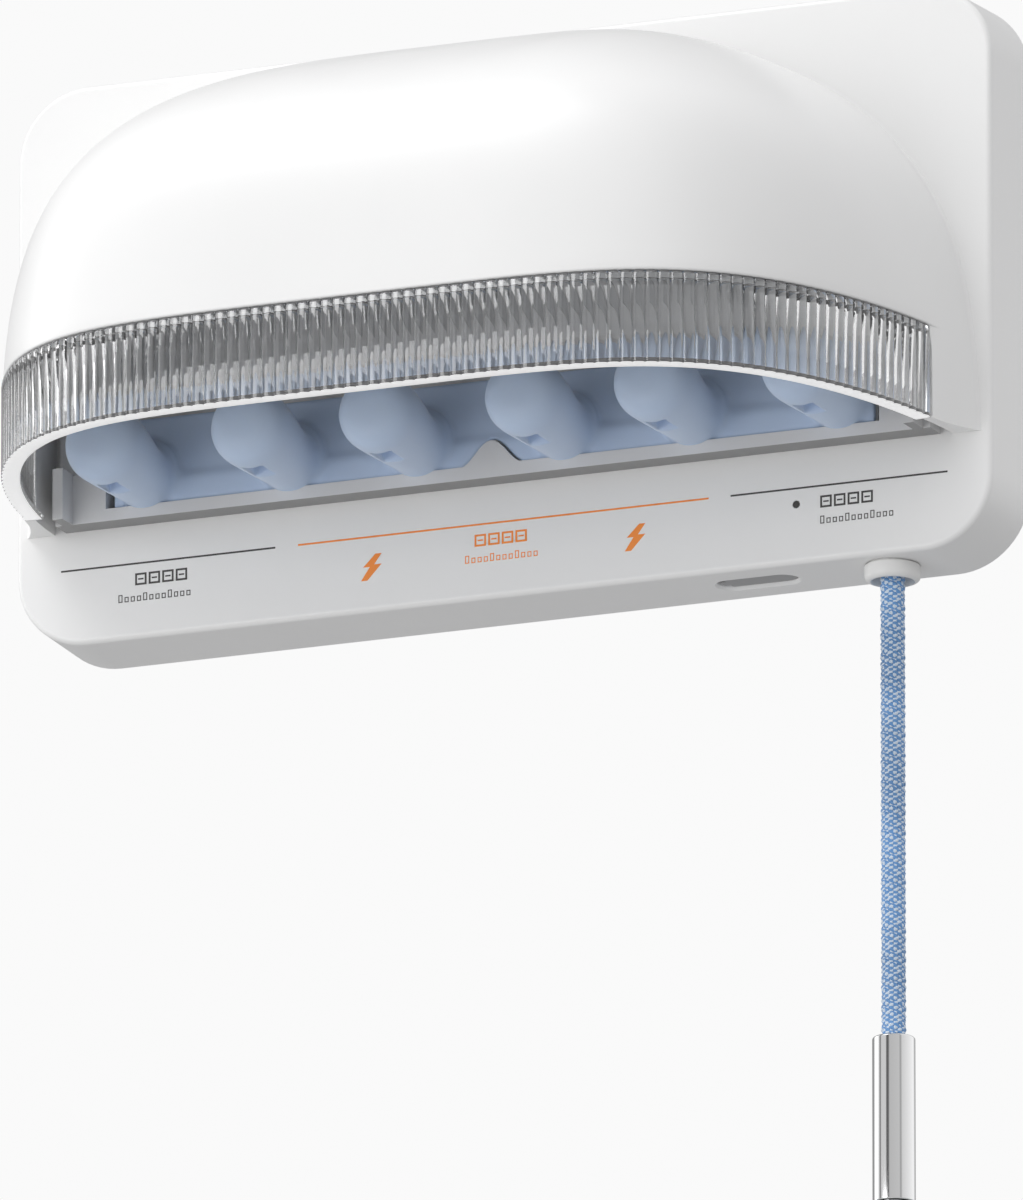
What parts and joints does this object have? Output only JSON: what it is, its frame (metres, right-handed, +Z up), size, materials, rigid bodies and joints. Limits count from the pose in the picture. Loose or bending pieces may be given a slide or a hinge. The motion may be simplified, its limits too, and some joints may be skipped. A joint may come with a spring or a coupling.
{
  "type": "toothbrush sanitizer",
  "caption": "Wall-mounted toothbrush sanitizer: back plate, domed hood with a clear ribbed visor, soft brush holder with round lobes, and a pull cord with a metal handle.",
  "frame": {"origin": "middle of the wall bracket's wall-side face, on the wall plane", "axes": "+Z up, +X to the right as seen from the front, +Y into the wall, so the hood stands out along -Y"},
  "size_m": [0.2916, 0.1352, 0.3399],
  "materials": {
    "white_abs": "satin white",
    "cover_abs": "matte light grey",
    "clear_acrylic": "clear, ribbed outside",
    "tray_abs": "matte mid grey",
    "liner_abs": "matte dark grey",
    "blue_silicone": "matte light blue",
    "polished_steel": "polished",
    "zinc_screw": "bright zinc",
    "spring_steel": "drawn wire",
    "cord_braid": "blue braid with white flecks",
    "circuit_board": "green solder mask",
    "black_plastic": "moulded",
    "battery_foil": "foil pouch",
    "lamp_package": "ceramic lamp",
    "quartz_window": "clear",
    "foam_tape": "foam",
    "grey_rubber": "matte",
    "red_wire": "wire sleeve",
    "pale_wire": "wire sleeve"
  },
  "bodies": {
    "bracket": {"wall_bracket": "cover_abs", "adhesive_pad_left": "foam_tape", "adhesive_pad_right": "foam_tape"},
    "housing": {"rear_cover": "cover_abs", "cover_screw_1": "zinc_screw", "cover_screw_2": "zinc_screw", "cover_screw_3": "zinc_screw", "cover_screw_4": "zinc_screw", "cover_screw_5": "zinc_screw", "cover_screw_6": "zinc_screw", "rear_gasket": "grey_rubber", "front_housing": "white_abs", "visor": "clear_acrylic", "hood_liner": "liner_abs", "holder_tray": "tray_abs", "tray_screw_left": "zinc_screw", "tray_screw_right": "zinc_screw", "uv_window": "quartz_window", "uv_board": "circuit_board", "uv_screw_left": "zinc_screw", "uv_screw_right": "zinc_screw", "uv_lamp_left": "lamp_package", "uv_lamp_middle": "lamp_package", "uv_lamp_right": "lamp_package", "main_board": "circuit_board", "board_screw_1": "zinc_screw", "board_screw_2": "zinc_screw", "power_chip": "black_plastic", "battery_connector": "pale_wire", "status_lamp": "lamp_package", "light_pipe": "quartz_window", "usb_socket": "polished_steel", "battery_pad": "foam_tape", "battery": "battery_foil", "battery_lead": "red_wire", "uv_lead": "pale_wire", "cord_gland": "white_abs", "gland_nut": "polished_steel", "return_spring": "spring_steel", "switch_body": "black_plastic"},
    "holder": {"brush_holder": "blue_silicone"},
    "port_flap": {"port_cover": "grey_rubber"},
    "puller": {"plunger": "tray_abs", "cord_ferrule": "polished_steel", "cord_stub": "cord_braid"},
    "cord": {"pull_cord": "cord_braid", "pull_handle": "polished_steel", "handle_cap": "polished_steel"},
    "lever": {"switch_lever": "polished_steel"}
  },
  "joints": [
    {"name": "housing_lift", "type": "slide", "parent": "bracket", "child": "housing", "axis": [0, 0, 1], "range_m": [0, 0.01]},
    {"name": "holder_pull", "type": "slide", "parent": "housing", "child": "holder", "axis": [0, -1, 0], "range_m": [0, 0.012]},
    {"name": "port_cover_open", "type": "hinge", "parent": "housing", "child": "port_flap", "pos_m": [0.06, -0.0138, -0.0786], "axis": [0, 1, 0], "range_deg": [0, 90]},
    {"name": "cord_pull", "type": "slide", "parent": "housing", "child": "puller", "axis": [0, 0, -1], "range_m": [0, 0.008], "stiffness_N_per_m": 250, "springref_m": -0.006, "deforming": ["return_spring"]},
    {"name": "cord_swing", "type": "hinge", "parent": "puller", "child": "cord", "pos_m": [0.111, -0.0155, -0.082], "axis": [0, 1, 0], "range_deg": [-15, 15]},
    {"name": "lever_turn", "type": "hinge", "parent": "housing", "child": "lever", "pos_m": [0.1043, -0.0145, -0.0402], "axis": [0, 1, 0], "range_deg": [0, 9]}
  ],
  "couplings": [
    {"joint": "lever_turn", "follows": "cord_pull", "rad_per_m": 18.75}
  ]
}
